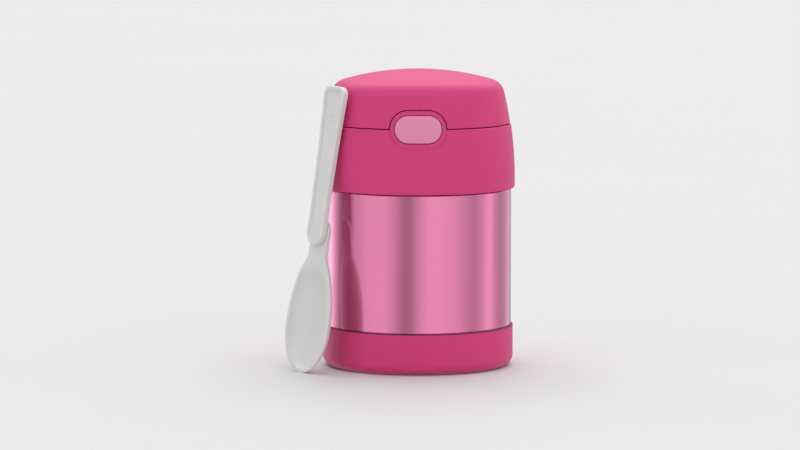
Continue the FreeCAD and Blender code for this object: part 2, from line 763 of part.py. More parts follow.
def make_spoon_bowl():
    """Bowl and stem, with a round end about the pivot."""
    stem_front = running_gap
    stem_back = running_gap + stem_thickness
    inwards = FreeCAD.Vector(0, 1, 0)
    stem_foot = bowl_length - stem_overlap
    stem = block(-stem_width / 2, stem_width / 2, stem_front, stem_back, stem_foot, spoon_pivot)
    disc = Part.makeCylinder(pivot_disc, stem_thickness, FreeCAD.Vector(0, stem_front, spoon_pivot), inwards)
    form = egg_bowl(0, stem_front).fuse([stem, disc])
    hollow = egg_bowl(bowl_wall, stem_front)
    form = form.cut(hollow)
    bore = Part.makeCylinder(rivet_radius + pin_fit / 2, stem_back + cut_margin,
                             FreeCAD.Vector(0, 0, spoon_pivot), inwards)
    return stand_up(form.cut(bore).removeSplitter())


def handle_outline(inset):
    """Face of the handle in its own XZ plane, moved in by an inset."""
    top = spoon_pivot + handle_reach - inset
    corner = handle_corner - inset / 2
    top_half = handle_top_width / 2 - inset
    mid_half = handle_mid_width / 2 - inset
    low_half = handle_low_width / 2 - inset
    mid_z = spoon_pivot + handle_reach / 2
    diagonal = math.sqrt(0.5)
    foot = spoon_pivot + inset
    bend = (top_half - corner + corner * diagonal, top - corner + corner * diagonal)
    right = [arc((low_half, foot), (mid_half, mid_z), (top_half, top - corner))]
    right.append(arc((top_half, top - corner), bend, (top_half - corner, top)))
    left = [edge.mirror(FreeCAD.Vector(0, 0, 0), FreeCAD.Vector(1, 0, 0)) for edge in right]
    ends = [line((top_half - corner, top), (corner - top_half, top))]
    ends.append(line((-low_half, foot), (low_half, foot)))
    edges = Part.__sortEdges__(right + left + ends)
    return Part.Face(Part.Wire(edges))


def make_spoon_handle():
    """Handle that laps over the front of the stem, with a sunken panel."""
    plate = handle_outline(0).extrude(FreeCAD.Vector(0, -handle_thickness, 0))
    pivot = FreeCAD.Vector(0, 0, spoon_pivot)
    outwards = FreeCAD.Vector(0, -1, 0)
    disc = Part.makeCylinder(handle_disc, handle_thickness, pivot, outwards)
    handle = plate.fuse(disc).removeSplitter()
    front_y = -handle_thickness
    handle = round_edges(handle, handle_edge_round, lambda middle, edge: abs(middle.y - front_y) < touch)
    panel = handle_outline(panel_border).extrude(FreeCAD.Vector(0, -2 * panel_depth, 0))
    panel.translate(FreeCAD.Vector(0, panel_depth - handle_thickness, 0))
    clear = Part.makeCylinder(handle_disc + panel_border, handle_thickness + cut_margin, pivot, outwards)
    handle = handle.cut(panel.cut(clear))
    bore = Part.makeCylinder(rivet_radius + pin_fit, handle_thickness - rivet_cover, pivot, outwards)
    return stand_up(handle.cut(bore))


def make_spoon_pin():
    """Rivet pressed through the stem that the handle turns on."""
    back = running_gap + stem_thickness
    front = handle_thickness - rivet_cover - running_gap
    outwards = FreeCAD.Vector(0, -1, 0)
    shank_foot = FreeCAD.Vector(0, back, spoon_pivot)
    head_foot = FreeCAD.Vector(0, back + rivet_head_height, spoon_pivot)
    shank = Part.makeCylinder(rivet_radius, back + front, shank_foot, outwards)
    head = Part.makeCylinder(rivet_head, rivet_head_height, head_foot, outwards)
    return stand_up(shank.fuse(head).removeSplitter())


def main():
    os.makedirs("parts", exist_ok=True)
    pieces = {
        "outer_shell": make_outer_shell(),
        "inner_liner": make_inner_liner(),
        "bottom_plate": make_bottom_plate(),
        "vacuum_plug": make_vacuum_plug(),
        "getter_capsule": make_getter(),
        "base_boot": make_base_boot(),
        "lid_gasket": make_gasket(),
        "lid_inner_cap": make_inner_cap(),
        "lid_skirt": make_lid_skirt(),
        "spoon_tray": make_spoon_tray(),
        "hinge_pin": make_hinge_pin(),
        "hinge_spring": make_hinge_spring(),
        "cover_shell": make_cover_shell(),
        "cover_liner": make_cover_liner(),
        "button_cap": make_button_cap(),
        "button_slider": make_button_slider(),
        "button_spring": make_button_spring(),
        "spoon_bowl": make_spoon_bowl(),
        "spoon_handle": make_spoon_handle(),
        "spoon_pivot_pin": make_spoon_pin(),
    }
    for name, shape in pieces.items():
        box = shape.BoundBox
        print(name, "solids", len(shape.Solids), "valid", shape.isValid(), "volume", round(shape.Volume, 1),
              "z", round(box.ZMin, 2), round(box.ZMax, 2))
        shape.exportStep("parts/" + name + ".step")


main()
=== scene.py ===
import json
import math

import bmesh
import bpy
from mathutils import Matrix, Vector


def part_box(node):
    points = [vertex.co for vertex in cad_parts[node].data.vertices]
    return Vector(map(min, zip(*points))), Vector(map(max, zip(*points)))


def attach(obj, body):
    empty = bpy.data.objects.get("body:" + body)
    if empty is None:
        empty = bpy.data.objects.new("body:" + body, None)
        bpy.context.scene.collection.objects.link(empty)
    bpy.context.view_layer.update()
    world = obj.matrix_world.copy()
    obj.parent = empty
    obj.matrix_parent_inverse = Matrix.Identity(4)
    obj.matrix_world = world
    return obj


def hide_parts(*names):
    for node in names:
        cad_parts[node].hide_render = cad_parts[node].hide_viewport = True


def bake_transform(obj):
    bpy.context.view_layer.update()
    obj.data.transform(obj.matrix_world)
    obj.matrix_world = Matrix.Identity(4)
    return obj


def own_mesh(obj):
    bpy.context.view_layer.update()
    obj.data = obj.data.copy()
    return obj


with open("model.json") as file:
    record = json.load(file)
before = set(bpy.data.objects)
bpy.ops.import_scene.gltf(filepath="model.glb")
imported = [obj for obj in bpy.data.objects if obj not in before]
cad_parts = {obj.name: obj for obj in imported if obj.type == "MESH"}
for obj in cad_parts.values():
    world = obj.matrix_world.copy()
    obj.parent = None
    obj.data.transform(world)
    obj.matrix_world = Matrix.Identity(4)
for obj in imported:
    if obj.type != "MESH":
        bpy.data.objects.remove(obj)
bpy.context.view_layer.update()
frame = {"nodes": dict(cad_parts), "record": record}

MM = 0.001

# Camera, measured from the jar's axis
camera_x = -8.2 * MM
camera_back = 1900 * MM
camera_height = 258 * MM
camera_aim_height = 64.4 * MM
camera_lens = 186.3
camera_sensor = 36.0

# Edges of the CAD nodes: points closer than this are one, and edges sharper
# than this stay crisp
weld_reach = 0.001 * MM
crisp_angle = 28

# Neck thread and the thread in the lid's inner cap
neck_radius = 36.2 * MM
cap_bore = 37.5 * MM
thread_lead = 8.0 * MM
thread_starts = 2
thread_turn = 0.62
thread_foot_z = 88.0 * MM
thread_drop = 2.0 * MM
thread_height = 0.9 * MM
thread_width = 1.5 * MM
thread_root = 0.15 * MM
thread_crest_share = 0.26
thread_fade = 8
thread_steps = 110
thread_edge = 0.22 * MM

# Rolled bead at the mouth
mouth_z = 95.0 * MM
mouth_inner = 34.3 * MM
mouth_bead_out = 0.75 * MM
mouth_bead_drop = 0.45 * MM
mouth_bead_half_width = 0.7425 * MM
mouth_bead_half_height = 0.55 * MM

# Side of the lid, one arc that leans in above its widest line, and the seam
# between skirt and cover
lid_radius = 44.7 * MM
side_arc = 175.0 * MM
widest_z = 86.0 * MM
seam_z = 111.75 * MM

# Button, and the ribs on its face
button_width = 21.1 * MM
button_height = 12.4 * MM
button_corner = 6.0 * MM
button_crown = 46.0 * MM
button_proud = 0.6 * MM
rib_pitch = 1.15 * MM
rib_height = 0.22 * MM
rib_margin = 1.0 * MM
rib_step = 0.14 * MM
rib_fade = 0.5 * MM
rib_lift = 0.03 * MM
rib_sink = 0.1 * MM
rib_overrun = 0.3 * MM
rib_sheet = 0.3 * MM

# Fine raised line round the lower half of the button's frame
bead_side = 2.5 * MM
bead_below = 1.7 * MM
bead_corner = 6.8 * MM
bead_width = 0.9 * MM
bead_height = 0.3 * MM
bead_root = 0.15 * MM
bead_stop = 0.4 * MM
bead_steps = 12
bead_flank_share = 0.28
bead_flank_height = 0.75 * bead_height

# Low rib on the spoon tray that closes the hinge bay off from the food side
tray_rib_inner = 36.2 * MM
tray_rib_outer = 37.0 * MM
tray_rib_foot_z = 110.9 * MM
tray_rib_top_z = 115.0 * MM
tray_rib_spread = 20.5
tray_rib_edge = 0.25 * MM
tray_rib_steps = 48

# Springs: the hinge's, then the button's
hinge_y = 40.8 * MM
hinge_coil = 1.6 * MM
hinge_wire = 0.3 * MM
hinge_pitch = 1.1 * MM
hinge_turns = 6
hinge_leg = 3.5 * MM
hinge_wall_y = 39.75 * MM
hinge_hook = 3.45 * MM
hinge_hook_bends = [(1.1 * MM, 0.0), (1.4 * MM, 0.3 * MM), (1.4 * MM, 0.8 * MM)]
hinge_steps = 20
button_coil = 2.7 * MM
button_wire = 0.35 * MM
button_turns = 4
button_steps = 22

# Spoon, in its own frame: X across, -Y out of its face, Z along it
spoon_pivot = 64.2 * MM
spoon_foot_reach = 62.3 * MM
spoon_foot_angle = 29.9
spoon_rest_reach = 43.0 * MM
spoon_rest_angle = 32.3
spoon_rest_z = 125.0 * MM
spoon_azimuth = 50.0
spoon_floor_gap = 0.05 * MM
bowl_length = 54.0 * MM
bowl_width = 30.0 * MM
bowl_depth = 7.0 * MM
bowl_widest = 21.0 * MM
bowl_wall = 1.6 * MM
bowl_edge = 0.35 * MM
bowl_end = 0.02 * MM
bowl_sections = 120
bowl_sides = 24
bowl_weld = 0.01 * MM
bowl_crisp_angle = 40
layer_gap = 0.3 * MM

# Passage from the bowl to the stem: runs along it, and how square its back gets
neck_width = 11.6 * MM
stem_width = 11.4 * MM
stem_thickness = 2.6 * MM
stem_disc = 6.0 * MM
stem_start_run = 12.0 * MM
hollow_end_run = 14.0 * MM
hollow_least_share = 0.55
square_start = 12.0 * MM
square_run = 16.0 * MM
square_share = 0.7

# Handle
handle_thickness = 3.0 * MM
handle_reach = 67.2 * MM
handle_top_width = 14.7 * MM
handle_mid_width = 11.4 * MM
handle_corner = 4.2 * MM
handle_disc = 5.5 * MM
handle_edge = 0.6 * MM
handle_steps = 30
handle_disc_steps = 16
handle_corner_steps = 12
panel_border = 1.7 * MM
panel_depth = 0.8 * MM

# Edge of the handle's back, as inset and depth in shares of its rounding
handle_back = [(0.5, 0.0), (0.15, 0.12), (0.0, 0.5)]

# Wall of the handle's panel from rim to floor, as inset past the border and depth
panel_wall = [(-0.15 * MM, 0.0), (-0.02 * MM, 0.08 * MM), (0.03 * MM, panel_depth - 0.08 * MM),
              (0.16 * MM, panel_depth), (1.2 * MM, panel_depth)]

# Ejector mark in the panel
mark_radius = 1.2 * MM
mark_line = 0.26 * MM
mark_drop = 14.4 * MM
mark_aside = 0.2 * MM

# Painted shadow: a dark line painted where the boot meets the steel, in place of the shade in the gap between
# them
boot_seam_shadow_low = 18.5 * MM
boot_seam_shadow_high = 19.4 * MM
seam_shadow_strength = 0.75
seam_shadow_darkness = 0.12

# Depth of the grain of moulded plastic and of the lines of turned steel
plastic_grain = 0.04 * MM
steel_line = 0.02 * MM

# Light: upright cards round the jar, as angle from the front in degrees and
# brightness, a soft light overhead, and what the camera sees behind
card_levels = [(-180, 0.45), (-160, 0.50), (-138, 1.60), (-124, 0.80), (-110, 0.26),
               (-99, 0.34), (-88, 0.64), (-66, 0.88), (-42, 0.94), (-28, 0.68),
               (-18, 0.44), (-10, 0.42), (-1, 0.70), (12, 0.98), (31, 0.96),
               (52, 0.82), (72, 0.54), (84, 0.70), (99, 1.08), (112, 0.66),
               (124, 0.50), (136, 0.60), (150, 0.80), (162, 0.50), (180, 0.45)]
overhead_from = 0.35
overhead_to = 0.9
overhead_level = 1.08
backdrop_level = 0.82
sun_from = (0.15, 0.8, 1.3)
sun_strength = 1.15
sun_spread = 70
floor_half = 9.0
floor_grey = (0.66, 0.67)


class Socket:
    """A shader value that takes arithmetic."""

    def __init__(self, tree, link):
        self.tree = tree
        self.link = link

    def math(self, operation, other=0.0, third=0.0):
        return self.tree.node("ShaderNodeMath", {"operation": operation}, {0: self, 1: other, 2: third})

    def __add__(self, other):
        return self.math("ADD", other)

    def __radd__(self, other):
        return self.math("ADD", other)

    def __sub__(self, other):
        return self.math("SUBTRACT", other)

    def __rsub__(self, other):
        return self.tree.node("ShaderNodeMath", {"operation": "SUBTRACT"}, {0: other, 1: self})

    def __mul__(self, other):
        return self.math("MULTIPLY", other)

    def __rmul__(self, other):
        return self.math("MULTIPLY", other)

    def __truediv__(self, other):
        return self.math("DIVIDE", other)


class Tree:
    """Node tree of a material or a world."""

    def __init__(self, owner):
        owner.use_nodes = True
        self.tree = owner.node_tree
        self.tree.nodes.clear()

    def node(self, kind, settings=None, inputs=None, output=0):
        made = self.tree.nodes.new(kind)
        for name, value in (settings or {}).items():
            if name == "stops":
                set_stops(made.color_ramp, value)
            else:
                setattr(made, name, value)
        for key, value in (inputs or {}).items():
            if isinstance(value, Socket):
                self.tree.links.new(value.link, made.inputs[key])
            else:
                made.inputs[key].default_value = value
        return Socket(self, made.outputs[output]) if len(made.outputs) else None

    def axes(self, vector):
        """The X, Y and Z parts of a vector."""
        first = self.node("ShaderNodeSeparateXYZ", {}, {0: vector})
        return [Socket(self, part) for part in first.link.node.outputs]

    def mix(self, factor, first, second):
        settings = {"data_type": "RGBA"}
        return self.node("ShaderNodeMix", settings, {0: factor, 6: first, 7: second}, 2)


def set_stops(ramp, stops):
    """Fill a colour ramp with (position, colour) stops."""
    while len(ramp.elements) > 1:
        ramp.elements.remove(ramp.elements[-1])
    ramp.elements[0].position = stops[0][0]
    ramp.elements[0].color = stops[0][1]
    for position, colour in stops[1:]:
        ramp.elements.new(position).color = colour


def grey(level):
    return (level, level, level, 1.0)


def linear(red, green, blue):
    """Linear colour from eight-bit display values."""
    out = []
    for value in (red, green, blue):
        share = value / 255
        out.append(share / 12.92 if share <= 0.04045 else ((share + 0.055) / 1.055) ** 2.4)
    return (out[0], out[1], out[2], 1.0)


def scaled(colour, factor):
    return (colour[0] * factor, colour[1] * factor, colour[2] * factor, 1.0)


def object_point(tree):
    return tree.node("ShaderNodeTexCoord", output=3)


def noise(tree, point, scale, detail=2.0, roughness=0.5):
    return tree.node("ShaderNodeTexNoise", {}, {"Vector": point, "Scale": scale, "Detail": detail,
                                               "Roughness": roughness})


def stretched(tree, point, scale):
    return tree.node("ShaderNodeMapping", {}, {"Vector": point, "Scale": scale})


def painted_seam_shadow(tree, point):
    """Share of the painted shadow line round the top of the boot, by height."""
    height = tree.axes(point)[2]
    middle = (boot_seam_shadow_low + boot_seam_shadow_high) / 2
    away = (height - middle).math("ABSOLUTE")
    return 1.0 - away.math("GREATER_THAN", (boot_seam_shadow_high - boot_seam_shadow_low) / 2)


def with_painted_seam_shadow(tree, point, base, colour):
    """The base colour, darkened along the seam line by a painted shadow."""
    return tree.mix(painted_seam_shadow(tree, point) * seam_shadow_strength, base, scaled(colour, seam_shadow_darkness))


def shader(name, tree_inputs):
    """New material whose Principled sockets are given by name."""
    material = bpy.data.materials.new(name)
    tree = Tree(material)
    inputs = tree_inputs(tree)
    surface = tree.node("ShaderNodeBsdfPrincipled", {}, inputs)
    tree.node("ShaderNodeOutputMaterial", {}, {"Surface": surface})
    return material


def moulded_plastic(name, colour, roughness, grain=0.35, speck=0.05, shine=0.5, paint_seam_shadow=False):
    """Injection-moulded plastic with a fine spark-eroded grain and faint flow variation."""
    def inputs(tree):
        point = object_point(tree)
        flow = noise(tree, point, 38.0, 3.0)
        fine = noise(tree, point, 3200.0, 2.0)
        base = tree.mix(flow, scaled(colour, 1 - speck), scaled(colour, 1 + speck))
        # Painted shadow: the dark line at the boot's seam, where asked for
        if paint_seam_shadow:
            base = with_painted_seam_shadow(tree, point, base, colour)
        bump = tree.node("ShaderNodeBump", {}, {"Strength": grain, "Distance": plastic_grain, "Height": fine})
        rough = flow * 0.08 + (roughness - 0.04)
        return {"Base Color": base, "Roughness": rough, "Normal": bump, "Specular IOR Level": shine,
                "IOR": 1.48}
    return shader(name, inputs)


def turned_steel(name, colour, roughness, coat=0.0, line=0.25, along=(1.0, 1.0, 26.0), paint_seam_shadow=False):
    """Steel with fine lines round it from finishing, under lacquer where there is a coat."""
    def inputs(tree):
        point = object_point(tree)
        lines = noise(tree, stretched(tree, point, along), 420.0, 3.0, 0.6)
        cloud = noise(tree, point, 26.0, 2.0)
        base = tree.mix(lines, scaled(colour, 0.95), scaled(colour, 1.04))
        # Painted shadow: the dark line at the boot's seam, where asked for
        if paint_seam_shadow:
            base = with_painted_seam_shadow(tree, point, base, colour)
        bump = tree.node("ShaderNodeBump", {}, {"Strength": line, "Distance": steel_line, "Height": lines})
        rough = cloud * 0.05 + lines * 0.04 + (roughness - 0.045)
        return {"Base Color": base, "Metallic": 1.0, "Roughness": rough, "Normal": bump,
                "Coat Weight": coat, "Coat Roughness": 0.08}
    return shader(name, inputs)


def milky_silicone(name, colour):
    """Clouded rubber that lets a little light in."""
    def inputs(tree):
        point = object_point(tree)
        cloud = noise(tree, point, 120.0, 2.0)
        base = tree.mix(cloud, scaled(colour, 0.94), scaled(colour, 1.03))
        return {"Base Color": base, "Roughness": cloud * 0.1 + 0.38, "Subsurface Weight": 0.25,
                "Subsurface Radius": (0.002, 0.002, 0.002), "Subsurface Scale": 1.0}
    return shader(name, inputs)


materials = {
    # pink_plastic and pink_steel carry the painted shadow line at the top of the boot
    "pink_plastic": moulded_plastic("pink_plastic", linear(216, 64, 125), 0.46, shine=0.25, paint_seam_shadow=True),
    "button_pink": moulded_plastic("button_pink", linear(231, 143, 175), 0.5),
    "grey_plastic": moulded_plastic("grey_plastic", linear(206, 207, 209), 0.45),
    "spoon_white": moulded_plastic("spoon_white", linear(223, 223, 222), 0.4),
    "pink_steel": turned_steel("pink_steel", linear(236, 136, 179), 0.15, coat=0.35, paint_seam_shadow=True),
    "bare_steel": turned_steel("bare_steel", linear(205, 205, 207), 0.26),
    "seal_metal": turned_steel("seal_metal", linear(180, 180, 182), 0.45),
    "spring_steel": turned_steel("spring_steel", linear(190, 190, 192), 0.2, along=(26.0, 1.0, 1.0)),
    "clear_silicone": milky_silicone("clear_silicone", linear(222, 222, 219)),
}


def new_object(name, mesh, slot, body=None):
    """Link a mesh, give it its finish and make it ride on a body, where it has one."""
    piece = bpy.data.objects.new(name, mesh)
    bpy.context.scene.collection.objects.link(piece)
    mesh.materials.clear()
    mesh.materials.append(materials[slot])
    for polygon in mesh.polygons:
        polygon.use_smooth = True
    if body:
        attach(piece, body)
    return piece


def finished(work, name):
    """Mesh from a working one, which is let go."""
    mesh = bpy.data.meshes.new(name)
    work.to_mesh(mesh)
    work.free()
    return mesh


def loops_mesh(name, loops, wrap=False):
    """Mesh of quads between equal loops of points, capped at each end or wrapped round on itself."""
    work = bmesh.new()
    rows = [[work.verts.new(point) for point in loop] for loop in loops]
    count = len(rows[0])
    pairs = list(zip(rows, rows[1:]))
    if wrap:
        pairs.append((rows[-1], rows[0]))
    for low, high in pairs:
        for index in range(count):
            after = (index + 1) % count
            work.faces.new((low[index], low[after], high[after], high[index]))
    if not wrap:
        work.faces.new(list(reversed(rows[0])))
        work.faces.new(rows[-1])
    bmesh.ops.recalc_face_normals(work, faces=work.faces)
    return finished(work, name)


def soften(piece, width, segments=2):
    """Round the sharp edges of a piece."""
    bevel = piece.modifiers.new("soft_edges", "BEVEL")
    bevel.width = width
    bevel.segments = segments
    return bevel


def dress_cad_nodes():
    """Give each CAD node its finish, smooth faces and crisp edges."""
    slots = {entry["node"]: entry["material_slot"] for entry in frame["record"]["subparts"]}
    for name, node in frame["nodes"].items():
        node.data.materials.clear()
        node.data.materials.append(materials[slots[name]])
        for polygon in node.data.polygons:
            polygon.use_smooth = True
        weld = node.modifiers.new("weld", "WELD")
        weld.merge_threshold = weld_reach
        split = node.modifiers.new("crisp_edges", "EDGE_SPLIT")
        split.split_angle = math.radians(crisp_angle)
        node.modifiers.new("even_shading", "WEIGHTED_NORMAL").keep_sharp = True


def thread_ridge(name, radius, outward, foot_z, body, slot):
    """Helical ridges of trapezoid section with run-outs, one for each start."""
    work = bmesh.new()
    for start in range(thread_starts):
        loops = []
        for step in range(thread_steps + 1):
            share = step / thread_steps
            angle = 2 * math.pi * (share * thread_turn + start / thread_starts)
            middle = foot_z + thread_lead * thread_turn * share
            fade = min(1.0, thread_fade * share, thread_fade * (1 - share))
            crest = radius + outward * (thread_height * fade)
            root = radius - outward * thread_root
            section = [(root, -0.5), (crest, -thread_crest_share), (crest, thread_crest_share), (root, 0.5)]
            loops.append([(r * math.cos(angle), r * math.sin(angle), middle + rise * thread_width)
                          for r, rise in section])
        work.from_mesh(loops_mesh(name, loops))
    soften(new_object(name, finished(work, name), slot, body), thread_edge)


def ring_loops(turns, sides, place):
    """Loops of a ring: place gives the point at an angle round it and a lean round its section."""
    return [[place(2 * math.pi * turn / turns, 2 * math.pi * side / sides) for side in range(sides)]
            for turn in range(turns)]


def mouth_bead():
    """Rolled bead where the liner meets the shell at the mouth."""
    def place(angle, lean):
        radius = mouth_inner + mouth_bead_out + mouth_bead_half_width * math.cos(lean)
        z = mouth_z - mouth_bead_drop + mouth_bead_half_height * math.sin(lean)
        return (radius * math.cos(angle), radius * math.sin(angle), z)

    mesh = loops_mesh("mouth_bead", ring_loops(128, 14, place), wrap=True)
    new_object("mouth_bead", mesh, "bare_steel", "jar")


def rounded_distance(x, z, half_width, half_height, corner):
    """How far a point lies inside a rounded rectangle's edge, below zero outside it."""
    over_x = abs(x) - (half_width - corner)
    over_z = abs(z) - (half_height - corner)
    outside = math.hypot(max(over_x, 0), max(over_z, 0))
    return corner - outside - min(max(over_x, over_z), 0)


def lid_side_radius(z):
    """Radius of the lid's leaning side at a height."""
    return lid_radius - side_arc + math.sqrt(side_arc ** 2 - (z - widest_z) ** 2)


def frame_bead():
    """Fine raised line on the skirt, round the lower half of the button."""
    half_width = button_width / 2 + bead_side
    half_height = button_height / 2 + bead_below
    path = [(half_width, -bead_stop, 1.0, 0.0)]
    for side, first in ((1, 0), (-1, -90)):
        for step in range(bead_steps + 1):
            angle = math.radians(first - 90 * step / bead_steps)
            out_x, out_z = math.cos(angle), math.sin(angle)
            path.append((side * (half_width - bead_corner) + bead_corner * out_x,
                         bead_corner - half_height + bead_corner * out_z, out_x, out_z))
    path.append((-half_width, -bead_stop, -1.0, 0.0))
    section = [(-0.5, -bead_root), (-bead_flank_share, bead_flank_height), (0, bead_height),
               (bead_flank_share, bead_flank_height), (0.5, -bead_root)]
    loops = []
    for x, z, out_x, out_z in path:
        ring = []
        for share, lift in section:
            at_x = x + out_x * share * bead_width
            at_z = seam_z + z + out_z * share * bead_width
            ring.append((at_x, -math.sqrt((lid_side_radius(at_z) + lift) ** 2 - at_x ** 2), at_z))
        loops.append(ring)
    new_object("frame_bead", loops_mesh("frame_bead", loops), "pink_plastic", "lid")


def button_ribs():
    """Diagonal ribs that stand on the crowned face of the button."""
    lean = math.asin((seam_z - widest_z) / side_arc)
    surface_r = lid_side_radius(seam_z)
    centre_y = -surface_r - (button_proud - button_crown) * math.cos(lean)
    centre_z = seam_z + (button_proud - button_crown) * math.sin(lean)
    half_width = button_width / 2
    half_height = button_height / 2
    columns = int(2 * half_width / rib_step)
    rows = int(2 * half_height / rib_step)
    work = bmesh.new()
    grid = []
    for row in range(rows + 1):
        line = []
        for column in range(columns + 1):
            x = -half_width + column * rib_step
            z = -half_height + row * rib_step
            inside = rounded_distance(x, z, half_width, half_height, button_corner) - rib_margin
            if inside < -rib_overrun:
                line.append(None)
                continue
            across = (x - z) / math.sqrt(2)
            wave = 0.5 + 0.5 * math.cos(2 * math.pi * across / rib_pitch)
            fade = max(-1.0, min(1.0, inside / rib_fade))
            lift = fade * (rib_lift + rib_height * wave) if fade > 0 else fade * rib_sink
            height = seam_z + z - centre_z
            depth = math.sqrt(button_crown ** 2 - x ** 2 - height ** 2)
            line.append(work.verts.new((x, centre_y - depth - lift, seam_z + z)))
        grid.append(line)
    for low, high in zip(grid, grid[1:]):
        for left in range(columns):
            corners = (low[left], low[left + 1], high[left + 1], high[left])
            if all(corners):
                work.faces.new(corners)
    bmesh.ops.recalc_face_normals(work, faces=work.faces)
    piece = new_object("button_ribs", finished(work, "button_ribs"), "button_pink", "button")
    solid = piece.modifiers.new("thickness", "SOLIDIFY")
    solid.thickness = rib_sheet
    solid.offset = -1


def wire_coil(name, points, wire, node, body=None):
    """Round wire along a list of points, in place of a CAD spring."""
    curve = bpy.data.curves.new(name, "CURVE")
    curve.dimensions = "3D"
    curve.bevel_depth = wire
    curve.bevel_resolution = 4
    curve.use_fill_caps = True
    spline = curve.splines.new("POLY")
    spline.points.add(len(points) - 1)
    for knot, point in zip(spline.points, points):
        knot.co = (point[0], point[1], point[2], 1.0)
    shape = bpy.data.objects.new(name + "_path", curve)
    bpy.context.scene.collection.objects.link(shape)
    graph = bpy.context.evaluated_depsgraph_get()
    mesh = bpy.data.meshes.new_from_object(shape.evaluated_get(graph))
    bpy.data.objects.remove(shape)
    piece = new_object(name, mesh, "spring_steel", body)
    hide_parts(node)
    return piece


def hinge_spring_wire():
    """Torsion spring round the hinge pin: one leg on the tray, one hooked up inside the cover."""
    half = hinge_pitch * hinge_turns / 2
    turns = hinge_turns - 0.5
    steps = int(hinge_steps * turns)
    points = [(-half, hinge_y - hinge_leg, seam_z - hinge_coil)]
    for step in range(steps + 1):
        angle = 2 * math.pi * turns * step / steps
        x = -half + 2 * half * step / steps
        points.append((x, hinge_y + hinge_coil * math.sin(angle), seam_z - hinge_coil * math.cos(angle)))
    for inwards, up in hinge_hook_bends:
        points.append((half, hinge_y - inwards, seam_z + hinge_coil + up))
    points.append((half, hinge_wall_y, seam_z + hinge_hook))
    piece = wire_coil("hinge_spring_wire", points, hinge_wire, "hinge_spring")
    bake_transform(piece)


def button_spring_wire():
    """Compression spring behind the slider, which shortens as the button is pushed; here the wire rides on
    the lid at its rest length.
    """
    low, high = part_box("button_spring")
    start = low.y + button_wire
    run = high.y - low.y - 2 * button_wire
    middle_z = (low.z + high.z) / 2
    points = []
    steps = button_steps * button_turns
    for step in range(steps + 1):
        angle = 2 * math.pi * step / button_steps
        points.append((button_coil * math.cos(angle), start + run * step / steps,
                       middle_z + button_coil * math.sin(angle)))
    piece = wire_coil("button_spring_wire", points, button_wire, "button_spring", "lid")
    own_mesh(piece)


def tray_rib():
    """Low curved rib on the spoon tray, in front of the hinge bay."""
    loops = []
    for step in range(tray_rib_steps + 1):
        angle = math.radians(90 - tray_rib_spread + 2 * tray_rib_spread * step / tray_rib_steps)
        section = [(tray_rib_inner, tray_rib_foot_z), (tray_rib_outer, tray_rib_foot_z),
                   (tray_rib_outer, tray_rib_top_z), (tray_rib_inner, tray_rib_top_z)]
        loops.append([(radius * math.cos(angle), radius * math.sin(angle), z) for radius, z in section])
    soften(new_object("tray_rib", loops_mesh("tray_rib", loops), "grey_plastic", "lid"), tray_rib_edge)


def beside_jar(radius, angle, z):
    """Point at a radius, turned from the left towards the front."""
    turn = math.radians(angle)
    return Vector((-radius * math.cos(turn), -radius * math.sin(turn), z))


def spoon_matrix():
    """Frame of the leaning spoon, as the CAD model places it."""
    foot = beside_jar(spoon_foot_reach, spoon_foot_angle, 0)
    along = (beside_jar(spoon_rest_reach, spoon_rest_angle, spoon_rest_z) - foot).normalized()
    azimuth = math.radians(spoon_azimuth)
    facing = Vector((-math.sin(azimuth), -math.cos(azimuth), 0))
    facing = (facing - along * facing.dot(along)).normalized()
    across = (-facing).cross(along)
    reach = math.hypot(bowl_widest * along.z, bowl_depth * facing.z)
    foot.z = spoon_floor_gap + reach - bowl_widest * along.z
    matrix = Matrix((across, -facing, along)).transposed().to_4x4()
    matrix.translation = foot
    return matrix


def egg_share(z, inset):
    """Width of the bowl's egg at a height, as a share of its widest."""
    length = bowl_length - bowl_widest if z > bowl_widest else bowl_widest
    return math.sqrt(max(0.0, 1 - ((z - bowl_widest) / (length - inset)) ** 2))


def eased(share):
    """Soft start and end between 0 and 1."""
    share = max(0.0, min(1.0, share))
    return share * share * (3 - 2 * share)


def blended(first, second):
    """The larger of two sizes, with a soft passage from one to the other."""
    return (first ** 4 + second ** 4) ** 0.25


def spoon_section(z):
    """Closed loop of the bowl and stem at a height, back first and then the hollow front."""
    above_widest = eased((z - bowl_widest) / stem_start_run)
    along_stem = eased((z - bowl_length) / (spoon_pivot - bowl_length))
    stem_half = (neck_width + (stem_width - neck_width) * along_stem) / 2
    half = blended(bowl_width / 2 * egg_share(z, 0), stem_half * above_widest)
    depth = blended(bowl_depth * egg_share(z, 0), stem_thickness * above_widest)
    over = z - spoon_pivot
    if over > 0:
        half = math.sqrt(max(stem_disc ** 2 - over ** 2, 0.0))
    to_neck = eased((bowl_length - bowl_wall - z) / hollow_end_run)
    hollow = (bowl_depth - bowl_wall) * egg_share(z, bowl_wall) * to_neck
    inner = max((bowl_width / 2 - bowl_wall) * egg_share(z, bowl_wall), hollow_least_share * half)
    square = 1 - square_share * eased((z - bowl_length + square_start) / square_run)
    angles = [math.pi * step / bowl_sides for step in range(bowl_sides + 1)]
    loop = []
    for angle in angles:
        across = math.copysign(abs(math.cos(angle)) ** square, math.cos(angle))
        loop.append((half * across, layer_gap + depth * math.sin(angle) ** square, z))
    for angle in angles:
        loop.append((-inner * math.cos(angle), layer_gap + hollow * math.sin(angle), z))
    return loop


